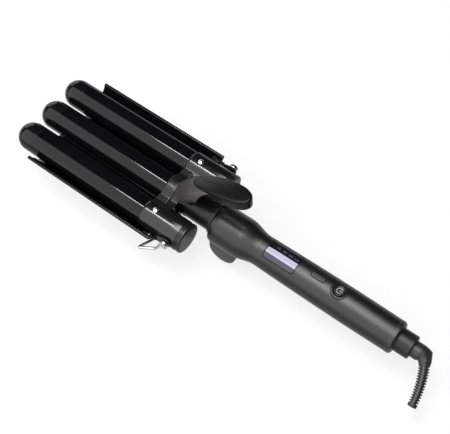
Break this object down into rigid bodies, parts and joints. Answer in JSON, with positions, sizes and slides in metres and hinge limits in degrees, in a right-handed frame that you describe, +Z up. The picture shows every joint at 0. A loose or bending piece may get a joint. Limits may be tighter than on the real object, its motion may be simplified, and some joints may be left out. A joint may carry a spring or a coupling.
{
  "type": "hair crimper",
  "caption": "Three-barrel hair waver with a wave plate, spring-closed jaw, thumb lever, wire stand and a folding handle with a display and a cord swivel.",
  "frame": {"origin": "centre of the bounding box at its base, the plane that the stand's feet touch, with the handle straight", "axes": "+X from the barrel tips toward the cord, +Z up from the wave plate to the lever, +Y to the user's left when the cord end points at the user; the object is symmetric about y = 0 but for the cord's strain relief"},
  "size_m": [0.394, 0.106, 0.0944],
  "materials": {
    "barrel_coating": "gloss black ceramic coating on aluminium",
    "gloss_plastic": "gloss black heat-proof moulding",
    "satin_plastic": "satin black moulding",
    "soft_plastic": "fine satin black, slightly soft to the touch",
    "chrome": "bright plated steel wire",
    "steel": "plain bright steel",
    "black_steel": "blackened steel strip",
    "spring_steel": "spring wire",
    "heater": "ceramic heater wrapped in tan film",
    "board": "green circuit board",
    "display": "dark blue display glass",
    "window": "clear smoked window",
    "rubber": "soft black rubber"
  },
  "bodies": {
    "lower_jaw": {"neck": "satin_plastic", "middle_barrel": "barrel_coating", "middle_tip": "gloss_plastic", "middle_heater": "heater", "wave_plate": "barrel_coating", "plate_screws": "steel", "strap_left": "black_steel", "strap_right": "black_steel", "strap_rivets": "black_steel", "stand_pin_left": "chrome", "stand_pin_right": "chrome", "jaw_pin": "steel"},
    "upper_jaw": {"outer_barrel_left": "barrel_coating", "outer_barrel_right": "barrel_coating", "outer_tip_left": "gloss_plastic", "outer_tip_right": "gloss_plastic", "outer_heater_left": "heater", "outer_heater_right": "heater", "sleeve_left": "gloss_plastic", "sleeve_right": "gloss_plastic", "rear_cap_left": "gloss_plastic", "rear_cap_right": "gloss_plastic", "bridge": "gloss_plastic", "sleeve_screws": "steel", "lever": "satin_plastic", "thumb_pad": "satin_plastic", "jaw_spring": "spring_steel"},
    "handle": {"fold_pin": "steel", "handle_top": "soft_plastic", "handle_bottom": "soft_plastic", "end_ring": "soft_plastic", "handle_screws": "steel", "circuit_board": "board", "display_module": "display", "display_window": "window", "power_ring": "satin_plastic", "cord_collar": "satin_plastic"},
    "stand": {"stand": "chrome"},
    "mode_button": {"mode_button": "soft_plastic"},
    "power_button": {"power_button": "soft_plastic"},
    "strain_relief": {"strain_relief": "rubber"}
  },
  "joints": [
    {"name": "jaw_hinge", "type": "hinge", "parent": "lower_jaw", "child": "upper_jaw", "pos_m": [-0.03702, 0, 0.0521], "axis": [0, 1, 0], "range_deg": [0, 18], "stiffness_Nm_per_rad": 0.5, "springref_deg": -20.05},
    {"name": "handle_fold", "type": "hinge", "parent": "lower_jaw", "child": "handle", "pos_m": [0.00298, 0, 0.0151], "axis": [0, 1, 0], "range_deg": [0, 180]},
    {"name": "stand_fold", "type": "hinge", "parent": "lower_jaw", "child": "stand", "pos_m": [-0.02902, 0, 0.0391], "axis": [0, -1, 0], "range_deg": [0, 70]},
    {"name": "cord_swivel", "type": "hinge", "parent": "handle", "child": "strain_relief", "pos_m": [0.17198, 0, 0.0326], "axis": [1, 0, 0], "continuous": true},
    {"name": "mode_button_press", "type": "slide", "parent": "handle", "child": "mode_button", "axis": [0, 0, -1], "range_m": [0, 0.0008], "stiffness_N_per_m": 500, "springref_m": -0.002},
    {"name": "power_button_press", "type": "slide", "parent": "handle", "child": "power_button", "axis": [0, 0, -1], "range_m": [0, 0.0008], "stiffness_N_per_m": 500, "springref_m": -0.002}
  ]
}
